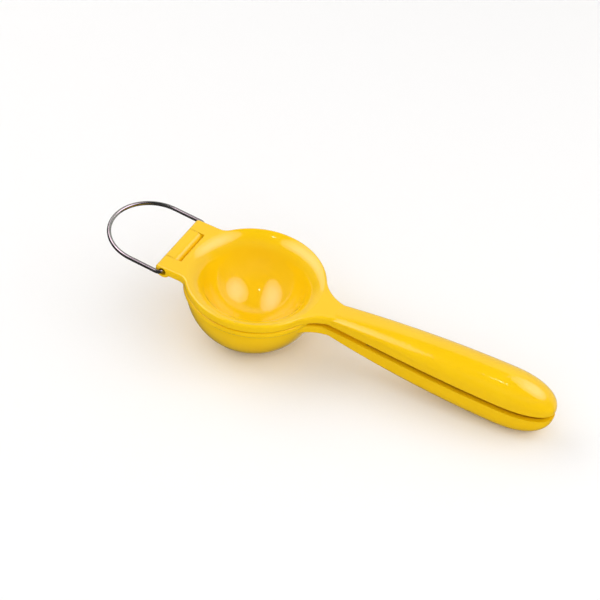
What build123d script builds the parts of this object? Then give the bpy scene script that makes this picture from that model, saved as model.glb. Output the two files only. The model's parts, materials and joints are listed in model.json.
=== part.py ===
from build123d import *
import os
from math import asin, atan2, cos, degrees, pi, radians, sin, sqrt, tan

# Citrus squeezer: two cast arms that turn on a tubular hinge pin, with a wire loop to hang it by.
# Lengths are in millimetres. Levels are heights above the hinge axis, square to the closing faces,
# and distances run along the arms from the hinge axis towards the handle tip.

# Hinge
hinge_depth = 3.5
hinge_setback = 7.4
ear_radius = 5.2
nose_rounding = 2.3
block_width = 52.0
notch_width = 29.6
notch_reach = 7.0
notch_gap = 1.2
side_clearance = 0.3
knuckle_rounding = 4.2
tongue_reach = 16.0
tongue_rounding = 4.0
pin_diameter = 5.0
pin_slot = 0.8
pin_recess = 4.0
turning_clearance = 0.06

# Press bowl, on the upper arm
rim_diameter = 90.0
rim_thickness = 6.0
lip_radius = 16.0
lip_slope = 13.0
hollow_depth = 29.4
press_wall = 3.3

# Strainer bowl, on the lower arm
closing_gap = 0.3
bead_height = 4.0
bead_step = 1.4
bowl_wall = 3.5
bowl_depth = 37.9
base_reach = 20.4
base_edge = 10.0
floor_edge = 6.0
drain_diameter = 4.6
drain_ring_counts = (1, 6, 12)
drain_ring_step = 7.8

# Necks and handles. The handles rise by a slight angle from the plane of the closing faces.
# A wall share is the part of a handle's depth that has straight sides. A tip fullness of 2 is an
# ellipse, and more is blunter.
neck_width = 15.2
neck_blend = 28.0
block_blend = 8.0
neck_depth = 6.0
handle_gap = 4.1
face_relief = 0.2
neck_length = 6.6
root_length = 5.0
swell_length = 113.9
tip_length = 32.8
handle_rise = 0.7
root_width = 16.4
root_depth = 5.5
root_wall_share = 0.76
handle_width = 28.1
press_handle_depth = 15.2
press_wall_share = 0.29
strainer_handle_depth = 18.8
strainer_wall_share = 0.27
width_swell = 1.15
depth_swell = 0.88
wall_swell = 1.2
tip_fullness = 2.25
tip_turn = 15
pocket_setback = 25.0
pocket_wall = 3.2

# Edge rounding
rim_rounding = 1.6
bead_rounding = 1.2
dome_rounding = 2.0

# Hanging loop
wire_diameter = 2.7
wire_clearance = 0.1
loop_length = 50.5
loop_clearance = 0.35
loop_bend = 3.5
loop_grip = 12.0
loop_lift = 3.5
wire_chamfer = 0.4

# How far a cut runs past the face that it opens
overrun = 1.0

# Places along the arms
rim_radius = rim_diameter / 2
hinge_to_bowl = hinge_setback + rim_radius
handle_start = hinge_to_bowl + rim_radius + neck_length
handle_flare = handle_start + root_length
handle_widest = handle_flare + swell_length
handle_tip = handle_widest + tip_length
pocket_start = handle_flare + pocket_setback

# Levels that follow from the sizes above
rim_top = hinge_depth
rim_under = rim_top - rim_thickness
bead_top = rim_under - closing_gap
upper_face = rim_under + face_relief
lower_face = upper_face - handle_gap
neck_bottom = lower_face + face_relief - neck_depth
base_level = bead_top - bowl_depth
floor_level = base_level + bowl_wall
rise_slope = tan(radians(handle_rise))
widest_rise = rise_slope * (handle_widest - handle_start)

# Widths and bores
knuckle_width = notch_width - 2 * side_clearance
knuckle_end = notch_reach - notch_gap
pin_bore = wire_diameter + 2 * wire_clearance
loop_half_width = block_width / 2 + loop_clearance + wire_diameter / 2

# Press hollow: a broad lip, rounded about a ring, that runs smoothly on into a sphere
lip_start = rim_radius - rim_rounding
lip_ring = lip_start + lip_radius * sin(radians(lip_slope))
lip_level = rim_top - lip_radius * cos(radians(lip_slope))
hollow_bottom = rim_top - hollow_depth
lip_height = lip_level - hollow_bottom
hollow_radius = (lip_ring**2 + lip_height**2 - lip_radius**2) / (2 * (lip_radius + lip_height))
hollow_level = hollow_bottom + hollow_radius
lip_angle = degrees(atan2(hollow_level - lip_level, lip_ring))
dome_radius = hollow_radius + press_wall
dome_reach = sqrt(dome_radius**2 - (hollow_level - rim_under) ** 2)

# Strainer bowl: a sphere with straight walls above it, and a flat base with a rounded edge
bowl_radius = rim_radius - bead_step
base_arc_level = base_level + base_edge
bowl_level = base_arc_level + sqrt((bowl_radius - base_edge) ** 2 - base_reach**2)


def tip_reach(depth, lengthwise, heightwise):
    """How far a handle's rounded tip stands out in a direction, from the middle of its widest slice."""
    power = tip_fullness / (tip_fullness - 1)
    return ((tip_length * lengthwise) ** power + (depth * heightwise) ** power) ** (1 / power)


def resting_tilt():
    """Slope of the arms when the bowl's base edge and the lower handle's tip both lie on the table."""
    span = handle_widest - hinge_to_bowl - base_reach
    slope = 0.0
    for _ in range(20):
        steepness = max(0, sin(slope) - rise_slope * cos(slope))
        tip_drop = tip_reach(strainer_handle_depth, steepness, cos(slope))
        height = base_arc_level - lower_face - widest_rise
        slope = asin((base_edge - height * cos(slope) - tip_drop) / span)
    return slope


# Place of the hinge axis: the whole object is centred over the origin and stands on the table
tilt = resting_tilt()
loop_angle = radians(loop_lift) + tilt
front_middle = handle_widest * cos(tilt) + (upper_face + widest_rise) * sin(tilt)
front_reach = cos(tilt) + rise_slope * sin(tilt)
front_end = front_middle + tip_reach(press_handle_depth, front_reach, sin(tilt))
rear_end = loop_length * cos(loop_angle) + wire_diameter / 2
hinge_x = (rear_end - front_end) / 2
hinge_height = base_edge + (hinge_to_bowl + base_reach) * sin(tilt) - base_arc_level * cos(tilt)

# Planes: tool lies in the closing faces, side is the view from the near side of the arms
along = Vector(cos(tilt), 0, -sin(tilt))
square = Vector(sin(tilt), 0, cos(tilt))
tool = Plane(origin=(hinge_x, 0, hinge_height), x_dir=along, z_dir=square)
side = Plane(origin=tool.origin, x_dir=along, z_dir=(0, -1, 0))
bowl_side = Plane(tool.from_local_coords((hinge_to_bowl, 0, 0)), x_dir=along, z_dir=(0, -1, 0))
bowl_axis = Axis(bowl_side.origin, square)
upward = (0, 1, 0)
downward = (0, -1, 0)


def swell(distance, power):
    """Share of its full size that a handle has at a distance: 0 at the flare, 1 at the widest place."""
    share = max(0, (distance - handle_flare) / swell_length)
    return sin(share * pi / 2) ** power


def handle_place(distance, level):
    """Middle of a handle's inner face at a distance, where the handle's root lies at a level."""
    return tool.from_local_coords((distance, 0, level + rise_slope * (distance - handle_start)))


def handle_section(distance, half_width, wall, depth, level, across):
    """D-shaped slice of a handle: flat inner face, straight walls and a domed back.

    The dome is a cubic curve, whose middle lies three quarters of the way to its control points.
    """
    place = Plane(handle_place(distance, level), x_dir=across, z_dir=along)
    crown = wall + (depth - wall) * 4 / 3
    with BuildSketch(place) as section:
        with BuildLine():
            Polyline((-half_width, wall), (-half_width, 0), (half_width, 0), (half_width, wall))
            Bezier((half_width, wall), (half_width, crown), (-half_width, crown), (-half_width, wall))
        make_face()
    return section.sketch


def handle_sections(level, across, full_depth, full_share, start=handle_start, inset=0.0, lift=0.0):
    """Slices of one handle from neck to rounded tip, in even steps so that its skin stays fair.

    An inset gives the pocket inside the handle, and a lift carries it out past the inner face.
    """
    reach = tip_length - inset
    step = reach * sin(radians(tip_turn)) ** (2 / tip_fullness)
    count = round((handle_widest - start) / step)
    sections = []
    for index in range(count):
        distance = start + (handle_widest - start) * index / count
        half_width = (root_width + (handle_width - root_width) * swell(distance, width_swell)) / 2 - inset
        inner_depth = root_depth + (full_depth - root_depth) * swell(distance, depth_swell) - inset
        share = root_wall_share + (full_share - root_wall_share) * swell(distance, wall_swell)
        wall = inner_depth * share + lift
        sections.append(handle_section(distance, half_width, wall, inner_depth + lift, level, across))
    for turn in range(0, 90, tip_turn):
        shrink = cos(radians(turn)) ** (2 / tip_fullness)
        distance = handle_widest + reach * sin(radians(turn)) ** (2 / tip_fullness)
        half_width = shrink * (handle_width / 2 - inset)
        wall = shrink * ((full_depth - inset) * full_share + lift)
        depth = shrink * (full_depth - inset + lift)
        sections.append(handle_section(distance, half_width, wall, depth, level, across))
    sections.append(Vertex(handle_place(handle_tip - inset, level)))
    return sections


def arm_outline(level, bowl_size, hinge_width):
    """Flat outline of an arm: hinge end, round bowl and neck, with blended corners."""
    blend_reach = sqrt((bowl_size + neck_blend) ** 2 - (neck_width / 2 + neck_blend) ** 2)
    with BuildSketch(tool.offset(level)) as outline:
        with Locations((hinge_to_bowl, 0)):
            Circle(bowl_size)
        with Locations((hinge_to_bowl / 2, 0)):
            Rectangle(hinge_to_bowl, hinge_width)
        with Locations((hinge_to_bowl, 0)):
            Rectangle(blend_reach + overrun, neck_width, align=(Align.MIN, Align.CENTER))
        fillet(outline.vertices().group_by(Axis.X)[-2], radius=neck_blend)
        fillet(outline.vertices().group_by(Axis.X)[1], radius=block_blend)
    return outline.sketch


# Upper arm: press dome, rim, hinge ears and handle in one casting
with BuildPart() as press_arm:
    extrude(arm_outline(rim_under, rim_radius, block_width), amount=rim_thickness, dir=square)
    with BuildSketch(side) as ear_profile:
        Circle(ear_radius)
        with Locations((0, rim_top)):
            Rectangle(2 * ear_radius, ear_radius, align=(Align.CENTER, Align.MIN), mode=Mode.SUBTRACT)
            Rectangle(ear_radius, rim_top, align=(Align.MAX, Align.MAX))
        fillet(ear_profile.vertices().group_by(Axis.Y)[-1].sort_by(Axis.X)[0], radius=nose_rounding)
    extrude(amount=block_width / 2, both=True)
    outline_edges = press_arm.edges().filter_by(Axis.Y, reverse=True).filter_by(bowl_axis, reverse=True)
    fillet(outline_edges, radius=rim_rounding)
    with BuildSketch(bowl_side):
        with Locations((0, hollow_level)):
            Circle(dome_radius)
        with Locations((0, rim_under)):
            Rectangle(rim_radius, 2 * dome_radius, align=(Align.MIN, Align.MAX), mode=Mode.INTERSECT)
    revolve(axis=bowl_axis)
    circles = press_arm.edges().filter_by(GeomType.CIRCLE)
    fillet(circles.sort_by(lambda edge: abs(edge.radius - dome_reach))[0], radius=dome_rounding)
    loft(handle_sections(upper_face, upward, press_handle_depth, press_wall_share))
    with BuildSketch(bowl_side):
        with BuildLine():
            Polyline(
                (0, hollow_bottom),
                (0, rim_top + overrun),
                (lip_start, rim_top + overrun),
                (lip_start, rim_top),
            )
            CenterArc((lip_ring, lip_level), lip_radius, 90 + lip_slope, 90 - lip_slope - lip_angle)
            CenterArc((0, hollow_level), hollow_radius, -lip_angle, lip_angle - 90)
        make_face()
    revolve(axis=bowl_axis, mode=Mode.SUBTRACT)
    loft(
        handle_sections(
            upper_face - overrun,
            upward,
            press_handle_depth,
            press_wall_share,
            pocket_start,
            pocket_wall,
            overrun,
        ),
        mode=Mode.SUBTRACT,
    )
    with BuildSketch(tool):
        with Locations((notch_reach, 0)):
            Rectangle(notch_reach + ear_radius + overrun, notch_width, align=(Align.MAX, Align.CENTER))
    extrude(amount=ear_radius + overrun, both=True, mode=Mode.SUBTRACT)
    with BuildSketch(side):
        Circle(pin_diameter / 2 + turning_clearance)
    extrude(amount=block_width / 2 + overrun, both=True, mode=Mode.SUBTRACT)
press_arm.part.label = "press_arm"

# Knuckle of the lower arm: the barrel between the ears and the tongue that carries it
with BuildPart() as knuckle:
    with BuildSketch(side) as knuckle_profile:
        with BuildLine():
            Polyline(
                (-ear_radius, rim_top),
                (-ear_radius, lower_face),
                (0, neck_bottom),
                (tongue_reach, neck_bottom),
                (tongue_reach, bead_top),
                (knuckle_end, bead_top),
                (knuckle_end, rim_top),
                close=True,
            )
        make_face()
        fillet(knuckle_profile.vertices().group_by(Axis.X)[0].sort_by(Axis.Y)[0], radius=tongue_rounding)
        fillet(knuckle_profile.vertices().group_by(Axis.Y)[-1].sort_by(Axis.X)[-1], radius=knuckle_rounding)
        fillet(knuckle_profile.vertices().group_by(Axis.Y)[-1].sort_by(Axis.X)[0], radius=nose_rounding)
    extrude(amount=knuckle_width / 2, both=True)

# Lower arm: strainer bowl, knuckle and handle in one casting
with BuildPart() as strainer_arm:
    extrude(arm_outline(neck_bottom, bowl_radius - bead_step, knuckle_width), amount=neck_depth, dir=square)
    neck_edges = strainer_arm.edges().filter_by(Axis.Y, reverse=True).filter_by(bowl_axis, reverse=True)
    fillet(neck_edges, radius=rim_rounding)
    loft(handle_sections(lower_face, downward, strainer_handle_depth, strainer_wall_share))
    with BuildSketch(bowl_side) as bowl_profile:
        with Locations((0, bowl_level)):
            Circle(bowl_radius)
            Rectangle(bowl_radius, bowl_depth, align=(Align.MIN, Align.MIN))
        with Locations((0, base_level)):
            Rectangle(rim_radius, bead_top - base_level, align=(Align.MIN, Align.MIN), mode=Mode.INTERSECT)
        fillet(bowl_profile.vertices().group_by(Axis.Y)[0].sort_by(Axis.X)[-1], radius=base_edge)
    revolve(axis=bowl_axis)
    with BuildSketch(bowl_side) as bead_profile:
        with Locations((0, bead_top)):
            Rectangle(rim_radius, bead_height, align=(Align.MIN, Align.MAX))
        fillet(bead_profile.vertices().group_by(Axis.X)[-1], radius=bead_rounding)
    revolve(axis=bowl_axis)
    add(knuckle.part)
    with BuildSketch(bowl_side) as hollow_profile:
        with Locations((0, bowl_level)):
            Circle(bowl_radius - bowl_wall)
            Rectangle(bowl_radius - bowl_wall, bowl_depth, align=(Align.MIN, Align.MIN))
        with Locations((0, floor_level)):
            Rectangle(rim_radius, bowl_depth, align=(Align.MIN, Align.MIN), mode=Mode.INTERSECT)
        fillet(hollow_profile.vertices().group_by(Axis.Y)[0].sort_by(Axis.X)[-1], radius=floor_edge)
    revolve(axis=bowl_axis, mode=Mode.SUBTRACT)
    with BuildSketch(tool.offset(base_level)):
        with Locations((hinge_to_bowl, 0)):
            for ring, count in enumerate(drain_ring_counts):
                with PolarLocations(ring * drain_ring_step, count):
                    Circle(drain_diameter / 2)
    extrude(amount=bowl_wall, mode=Mode.SUBTRACT)
    loft(
        handle_sections(
            lower_face + overrun,
            downward,
            strainer_handle_depth,
            strainer_wall_share,
            pocket_start,
            pocket_wall,
            overrun,
        ),
        mode=Mode.SUBTRACT,
    )
    with BuildSketch(side):
        Circle(pin_diameter / 2)
    extrude(amount=block_width / 2, both=True, mode=Mode.SUBTRACT)
strainer_arm.part.label = "strainer_arm"

# Hinge pin: a slotted tube pressed into the knuckle
with BuildPart() as hinge_pin:
    with BuildSketch(side):
        Circle(pin_diameter / 2)
        Circle(pin_bore / 2, mode=Mode.SUBTRACT)
        Rectangle(pin_slot, pin_diameter, align=(Align.CENTER, Align.MAX), mode=Mode.SUBTRACT)
    extrude(amount=block_width / 2 - pin_recess, both=True)
hinge_pin.part.label = "hinge_pin"

# Hanging loop: one bent wire whose ends turn in the bore of the hinge pin
loop_plane = Plane(
    origin=tool.origin,
    x_dir=(-cos(loop_angle), 0, sin(loop_angle)),
    z_dir=(sin(loop_angle), 0, cos(loop_angle)),
)
with BuildPart() as hanging_loop:
    loop_leg = loop_length - loop_half_width
    bend_start = loop_half_width - loop_bend
    with BuildLine(loop_plane) as wire_path:
        Line((0, -loop_grip), (0, -bend_start))
        CenterArc((loop_bend, -bend_start), loop_bend, 180, 90)
        Line((loop_bend, -loop_half_width), (loop_leg, -loop_half_width))
        CenterArc((loop_leg, 0), loop_half_width, -90, 180)
        Line((loop_leg, loop_half_width), (loop_bend, loop_half_width))
        CenterArc((loop_bend, bend_start), loop_bend, 90, 90)
        Line((0, bend_start), (0, loop_grip))
    with BuildSketch(Plane(origin=wire_path.line @ 0, z_dir=wire_path.line % 0)):
        Circle(wire_diameter / 2)
    sweep(path=wire_path.line)
    chamfer(hanging_loop.faces().filter_by(GeomType.PLANE).edges(), length=wire_chamfer)
hanging_loop.part.label = "hanging_loop"

os.makedirs("parts", exist_ok=True)
for piece in (press_arm, strainer_arm, hinge_pin, hanging_loop):
    export_step(piece.part, f"parts/{piece.part.label}.step")
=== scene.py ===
# %% [markdown]
# # A citrus squeezer in glossy enamel
# Two cast arms turn on a pin, and a wire loop hangs the tool on a hook. The shapes come from the
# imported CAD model, so this lesson is about finishing it: enamel, drawn wire, light and camera.

# %% Load the model and keep its box
import json
from math import cos, pi, radians, sin

import bpy
from mathutils import Matrix, Vector

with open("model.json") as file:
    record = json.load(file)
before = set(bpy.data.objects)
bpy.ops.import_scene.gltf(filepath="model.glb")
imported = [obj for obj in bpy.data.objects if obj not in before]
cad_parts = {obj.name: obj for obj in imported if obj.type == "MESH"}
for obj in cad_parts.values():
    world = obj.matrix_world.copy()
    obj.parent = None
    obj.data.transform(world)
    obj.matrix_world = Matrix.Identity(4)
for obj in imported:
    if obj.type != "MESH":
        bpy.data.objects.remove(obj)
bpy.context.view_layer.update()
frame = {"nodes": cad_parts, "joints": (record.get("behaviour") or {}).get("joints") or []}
nodes = frame["nodes"]
bpy.ops.object.select_all(action="DESELECT")
print("nodes:", sorted(nodes))

# %% [markdown]
# ## Where the hinge is
# The whole tool lies tilted on its bowl and handle tip, so patterns that follow the tool are
# easiest to place from the hinge. The joint list already holds the hinge point. The slope is the
# angle between the closing faces and the table. The middle of the rim lies ahead of the hinge along
# that slope, and a little above it.

# %% Hinge point, slope and middle of the rim
joints = {joint["name"]: joint for joint in frame["joints"]}
hinge = Vector(joints["arm_hinge"]["pos_m"])
slope = radians(6.304)
rim_ahead = 0.0524
rim_above = 0.0035

along = Vector((cos(slope), 0, -sin(slope)))
square = Vector((sin(slope), 0, cos(slope)))
rim_centre = hinge + rim_ahead * along + rim_above * square
print("hinge at", [round(value, 4) for value in hinge])

# %% [markdown]
# ## Camera
# The picture is taken with a long lens from about a metre, so the round rim is nearly a true ellipse.
# A camera can be aimed with a Track To constraint, but its turn about the view axis is then out of
# our hands. Here the three camera axes are worked out from azimuth and elevation, and the camera is
# pushed back from the middle of the rim until that point falls in the right place in the frame.

# %% Camera axes and place
frame_pixels = 600
azimuth = radians(27.6)
elevation = radians(41.6)
photo_slope = radians(6.26)
distance = 1.0
pixels_per_metre = 1602
rim_pixel = Vector((255.8, 275.7))

right = Vector((cos(azimuth), sin(azimuth), 0))
back = Vector((sin(azimuth) * cos(elevation), -cos(azimuth) * cos(elevation), sin(elevation)))
up = back.cross(right)
lean = Matrix.Rotation(slope - photo_slope, 3, "Y")
axes = [lean @ axis for axis in (right, up, back)]
offset_right = (rim_pixel.x - frame_pixels / 2) / pixels_per_metre
offset_up = (frame_pixels / 2 - rim_pixel.y) / pixels_per_metre
place = rim_centre - offset_right * axes[0] - offset_up * axes[1] + distance * axes[2]

bpy.ops.object.camera_add(location=place)
camera = bpy.context.object
camera.name = "camera"
camera.rotation_euler = Matrix(axes).transposed().to_euler()
camera.data.sensor_width = 36
camera.data.lens = camera.data.sensor_width * pixels_per_metre * distance / frame_pixels
bpy.context.scene.camera = camera
print("lens", round(camera.data.lens, 1), "mm")

# %% [markdown]
# ## Writing shader maths as expressions
# Wiring nodes by hand hides what a pattern does. A small class that holds one socket and knows how
# to add, subtract and multiply turns each Math node into an operator, so a pattern reads like the
# formula behind it. Every other kind of node comes from the one method `node`. Lamps and the room
# have node trees too, so the part that makes nodes is kept apart from the part that knows materials.


# %% Sockets with operators
class Signal:
    """One output socket of a pattern's node tree, with operators that add Math nodes."""

    def __init__(self, pattern, socket):
        self.pattern = pattern
        self.socket = socket

    def math(self, operation, *others):
        values = dict(enumerate((self, *others)))
        return self.pattern.node("ShaderNodeMath", {"operation": operation}, values)

    def __add__(self, other):
        return self.math("ADD", other)

    def __sub__(self, other):
        return self.math("SUBTRACT", other)

    def __mul__(self, other):
        return self.math("MULTIPLY", other)

    def __rsub__(self, other):
        return self.pattern.node("ShaderNodeMath", {"operation": "SUBTRACT"}, {0: other, 1: self})

    __radd__ = __add__
    __rmul__ = __mul__


# %% Patterns, and the finishes that wear them
class Pattern:
    """A node tree that is filled by calling methods and writing expressions."""

    def __init__(self, tree):
        self.tree = tree

    def feed(self, socket, value):
        if isinstance(value, Signal):
            self.tree.links.new(value.socket, socket)
        else:
            socket.default_value = value

    def node(self, kind, settings=None, values=None, output=0):
        new = self.tree.nodes.new(kind)
        for name, setting in (settings or {}).items():
            setattr(new, name, setting)
        for name, value in (values or {}).items():
            self.feed(new.inputs[name], value)
        return Signal(self, new.outputs[output])

    def noise(self, where, scale, detail=2.0, roughness=0.5):
        values = {"Vector": where, "Scale": scale, "Detail": detail, "Roughness": roughness}
        return self.node("ShaderNodeTexNoise", None, values)

    def between(self, value, low, high, first=0.0, last=1.0):
        """Goes smoothly from first to last while a value goes from low to high."""
        values = {"Value": value, "From Min": low, "From Max": high, "To Min": first, "To Max": last}
        return self.node("ShaderNodeMapRange", {"interpolation_type": "SMOOTHSTEP"}, values)

    def blend(self, share, first, second):
        settings = {"data_type": "RGBA"}
        return self.node("ShaderNodeMix", settings, {0: share, 6: first, 7: second}, output=2)

    def part(self, vector, axis):
        return self.node("ShaderNodeSeparateXYZ", None, {"Vector": vector}, output=axis)


class Finish(Pattern):
    """A material, whose shader takes patterns and plain numbers alike."""

    def __init__(self, name):
        self.material = bpy.data.materials.new(name)
        self.material.use_nodes = True
        super().__init__(self.material.node_tree)

    def place(self):
        return self.node("ShaderNodeTexCoord", output="Object")

    def give(self, values):
        shader = self.tree.nodes["Principled BSDF"]
        for name, value in values.items():
            self.feed(shader.inputs[name], value)

    def dress(self, *names):
        for name in names:
            nodes[name].material_slots[0].link = "OBJECT"
            nodes[name].material_slots[0].material = self.material
        print(self.material.name, "on", ", ".join(names))


# %% [markdown]
# ## Yellow enamel
# The arms are cast, ground and coated with a thick glossy enamel. Such a coat pulls back a little
# from every edge, so no edge is truly sharp, and it levels out with a very faint orange peel. The
# edges could be rounded in the mesh, but on a dense CAD mesh that makes slivers. The Bevel node
# rounds only the normal that the light sees, and along every edge the colour is lightened to a
# brighter yellow as a painted highlight. Colour and gloss drift slightly over the casting.

# %% Colour of the enamel
light_yellow = (0.96, 0.6, 0.003, 1)
deep_yellow = (0.94, 0.57, 0.001, 1)
# The third yellow is a painted highlight, laid along every edge.
painted_highlight_yellow = (0.96, 0.64, 0.02, 1)
drift_scale = 22
edge_radius = 0.0006
painted_highlight_share = 0.6

enamel = Finish("yellow_enamel")
spot = enamel.place()
drift = enamel.between(enamel.noise(spot, drift_scale, 3), 0.35, 0.65)
rounded = enamel.node("ShaderNodeBevel", {"samples": 6}, {"Radius": edge_radius})
facing = enamel.node("ShaderNodeNewGeometry", output="Normal")
dot_product = {"operation": "DOT_PRODUCT"}
agreement = enamel.node("ShaderNodeVectorMath", dot_product, {0: rounded, 1: facing}, output="Value")
# Where the rounded normal turns away from the true one, along every edge, the colour is lightened: a
# painted edge highlight.
edge_highlight_mask = enamel.between(1 - agreement, 0.02, 0.25)
coat = enamel.blend(drift, light_yellow, deep_yellow)
enamel.give({"Base Color": enamel.blend(edge_highlight_mask * painted_highlight_share, coat, painted_highlight_yellow)})
print("enamel drifts over about", round(1000 / drift_scale), "mm")

# %% Gloss of the enamel
gloss_scale = 60
peel_scale = 620
fine_peel_scale = 1900

roughness = 0.26 + 0.08 * enamel.noise(spot, gloss_scale, 3)
peel = enamel.noise(spot, peel_scale, 1.0)
fine_peel = enamel.noise(spot, fine_peel_scale, 1.0)
levelled = peel + 0.3 * fine_peel
bump = {"Strength": 0.05, "Distance": 0.0002, "Height": levelled, "Normal": rounded}
enamel.give({"Roughness": roughness, "Normal": enamel.node("ShaderNodeBump", None, bump)})
enamel.give({"Specular IOR Level": 0.06, "Coat Weight": 1.0, "Coat Roughness": 0.08, "Coat IOR": 1.6})
enamel.dress("press_arm", "strainer_arm")

# %% [markdown]
# ## Drawn steel wire
# Wire is pulled through a die, which leaves fine lines along its length. A pattern in plain object
# space would cross the bend at an angle, so the shader first works out where a point lies in the
# wire's own cross-section: how far out from the middle line of the loop, and how far above its
# plane. Noise read there is the same all along the wire, and shows as long lines.

# %% A point's place in the wire's cross-section
loop_angle = slope + radians(3.5)
loop_reach = 0.0505
loop_half_width = 0.0277
loop_leg = loop_reach - loop_half_width

wire = Finish("drawn_wire")
spot = wire.place()
run = hinge.x - wire.part(spot, "X")
rise = wire.part(spot, "Z") - hinge.z
beside = wire.part(spot, "Y")
outward = run * cos(loop_angle) + rise * sin(loop_angle)
above = rise * cos(loop_angle) - run * sin(loop_angle)
past_leg = (outward - loop_leg).math("MAXIMUM", 0.0)
across = (past_leg * past_leg + beside * beside).math("SQRT") - loop_half_width
section = wire.node("ShaderNodeCombineXYZ", None, {"X": across, "Y": above})
print("straight legs of", round(1000 * loop_leg, 1), "mm, then half a circle")

# %% Wire for the hanging loop
clean_wire = (0.5, 0.51, 0.475, 1)
dull_wire = (0.4, 0.405, 0.38, 1)
line_scale = 5200
smudge_scale = 140

lines = wire.noise(section, line_scale, 2.0, 0.6)
smudge = wire.between(wire.noise(spot, smudge_scale, 3), 0.4, 0.7)
roughness = 0.1 + 0.1 * lines + 0.06 * smudge
bump = {"Strength": 0.12, "Distance": 0.00005, "Height": lines}
wire.give({"Base Color": wire.blend(smudge, clean_wire, dull_wire), "Metallic": 1.0})
wire.give({"Roughness": roughness, "Normal": wire.node("ShaderNodeBump", None, bump)})
wire.dress("hanging_loop")

# %% [markdown]
# ## Spring steel pin
# The pin is a rolled tube, darker than the wire and left with lengthwise rolling marks. Only its
# two ends show, deep in the ear holes.

# %% Steel for the hinge pin
rolled_steel = (0.36, 0.35, 0.34, 1)
stained_steel = (0.24, 0.22, 0.2, 1)
mark_scale = 2600
mark_stretch = (1.0, 0.04, 1.0)
stain_scale = 300

pin = Finish("rolled_pin_steel")
spot = pin.place()
stretched = pin.node("ShaderNodeVectorMath", {"operation": "MULTIPLY"}, {0: spot, 1: mark_stretch})
marks = pin.noise(stretched, mark_scale, 2.0)
stain = pin.between(pin.noise(spot, stain_scale, 3), 0.45, 0.75)
bump = {"Strength": 0.15, "Distance": 0.0001, "Height": marks}
pin.give({"Base Color": pin.blend(stain, rolled_steel, stained_steel), "Metallic": 1.0})
pin.give({"Roughness": 0.28 + 0.2 * marks, "Normal": pin.node("ShaderNodeBump", None, bump)})
pin.dress("hinge_pin")

# %% [markdown]
# ## Floor
# A pale studio table gives the tool something to stand on and throws light back under the bowl and
# the handles. It is part of the stage and not of the object. It is hidden from mirror rays, because
# a white table in the gloss would turn the sides of the enamel grey.

# %% Floor
table_width = 8
white_paper = (0.93, 0.93, 0.93, 1)
paper_fibre = (0.9, 0.9, 0.9, 1)
fibre_scale = 900

bpy.ops.mesh.primitive_plane_add(size=table_width)
floor = bpy.context.object
floor.name = "floor"
paper = Finish("pale_paper")
fibre = paper.noise(paper.place(), fibre_scale, 2)
paper.give({"Base Color": paper.blend(fibre, white_paper, paper_fibre), "Roughness": 0.85})
floor.data.materials.append(paper.material)
floor.visible_glossy = False
print("table", table_width, "m wide")

# %% [markdown]
# ## Softboxes and lamp
# Glossy paint is lit by what it mirrors. Two large oval softboxes, one to the left and one to the
# right behind the tool, draw the two pale ovals in the bowl and the crescents on its lip. A real
# softbox is brightest in the middle of its cloth, and that keeps the edges of the ovals soft. The
# cloth is a little rosy, because white gloss over this yellow would look like lemon. Hidden from
# diffuse rays, the boxes draw the gloss alone. A small lamp high overhead adds the sparks. Glowing
# meshes would do too, but area lamps are sampled better and stay out of the model.


# %% A lamp that faces the bowl
def softbox(name, bearing, height, away, width, breadth, radiance, turn=0):
    """An oval lamp that faces the bowl; its power follows from how bright it should look."""
    tipped = Matrix.Rotation(radians(height), 3, "Y").transposed()
    way = Matrix.Rotation(radians(bearing), 3, "Z") @ tipped @ Vector((1, 0, 0))
    bpy.ops.object.light_add(type="AREA", location=rim_centre + away * way)
    lamp = bpy.context.object
    lamp.name = name
    towards_bowl = way.to_track_quat("Z", "Y").to_matrix()
    lamp.rotation_euler = (towards_bowl @ Matrix.Rotation(radians(turn), 3, "Z")).to_euler()
    lamp.data.shape = "ELLIPSE"
    lamp.data.size = width
    lamp.data.size_y = breadth
    cloth_area = pi * width * breadth / 4
    lamp.data.energy = radiance * pi * cloth_area
    print(name, round(lamp.data.energy, 2), "W")
    return lamp


# %% Softboxes and lamp
def soften(lamp, rim_share):
    """Lets a softbox fade from the hot middle of its cloth to a weaker rim."""
    lamp.data.use_nodes = True
    cloth = Pattern(lamp.data.node_tree)
    spot = cloth.node("ShaderNodeNewGeometry", output="Parametric")
    ends = {0: spot, 1: (0.5, 0.5, 0)}
    from_middle = cloth.node("ShaderNodeVectorMath", {"operation": "DISTANCE"}, ends, output="Value")
    glow = cloth.between(from_middle, 0.1, 0.5, first=1.0, last=rim_share)
    cloth.feed(cloth.tree.nodes["Emission"].inputs["Strength"], glow)


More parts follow.
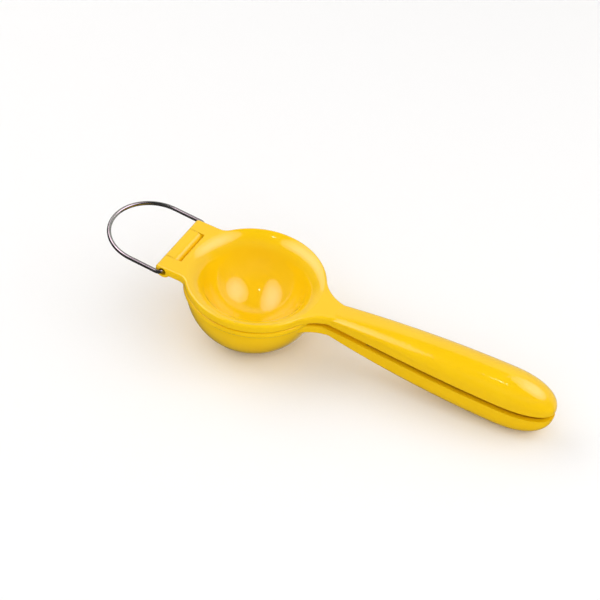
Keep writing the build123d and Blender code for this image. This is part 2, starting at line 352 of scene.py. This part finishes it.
box_radiance = 3.4
cloth_tint = (1.0, 0.78, 0.94)
box_away = 1.2
box_right = softbox("softbox_right", 37.7, 51.5, box_away, width=1.2, breadth=0.94,
                    radiance=box_radiance)
box_left = softbox("softbox_left", 177, 60, box_away, width=1.78, breadth=0.82,
                   radiance=box_radiance, turn=23)
for box in (box_right, box_left):
    soften(box, rim_share=0.4)
    box.visible_diffuse = False
    box.data.color = cloth_tint
softbox("lamp_overhead", bearing=-105, height=84, away=6, width=0.22, breadth=0.22, radiance=22)

# %% [markdown]
# ## Fill light
# Three broad fills, from the front and both sides, light the colour of the enamel and shape the
# shadows on the table. A photographer crosses polarisers to keep such fills out of the gloss. Here
# they are hidden from mirror rays, and the bowl stays deep in colour.

# %% Fills from the front and both sides
fills = {"fill_front": (-62, 1.15), "fill_left": (172, 1.55), "fill_right": (12, 1.5)}
for name, (bearing, radiance) in fills.items():
    fill = softbox(name, bearing, height=42, away=1.6, width=1.8, breadth=1.2, radiance=radiance)
    fill.visible_glossy = False

# %% [markdown]
# ## Room
# Flat faces all mirror the same patch of the room, halfway up at the back. That patch is pale, which
# lays a thin veil on the rim and the hinge, and the rest is dark, which keeps the enamel saturated.
# Only mirror rays meet this room. All other rays meet an even, pale one, as inside a light tent, which
# lights the colour softly from all sides and keeps the table pale to its far edge.

# %% Room
even_light = 0.62
room_tint = (1.0, 0.99, 0.97, 1)

world = bpy.data.worlds.new("studio_room")
bpy.context.scene.world = world
world.use_nodes = True
room = Pattern(world.node_tree)
way_out = room.node("ShaderNodeTexCoord", output="Generated")
height = room.part(way_out, "Z")
up_from_floor = room.between(height, 0.2, 0.6, first=0.5, last=0.6)
down_from_ceiling = room.between(height, 0.72, 0.82, first=1.0, last=0.03)
towards_back = room.between(room.part(way_out, "Y"), 0.4, 0.66, first=0.1, last=1.0)
patch = up_from_floor * down_from_ceiling * towards_back
mirrored = room.node("ShaderNodeLightPath", output="Is Glossy Ray")
brightness = mirrored * patch + (1 - mirrored) * even_light
background = room.tree.nodes["Background"]
room.feed(background.inputs["Strength"], brightness)
room.feed(background.inputs["Color"], room_tint)
bpy.context.scene.view_settings.view_transform = "Standard"
print("room:", len(room.tree.nodes), "nodes")
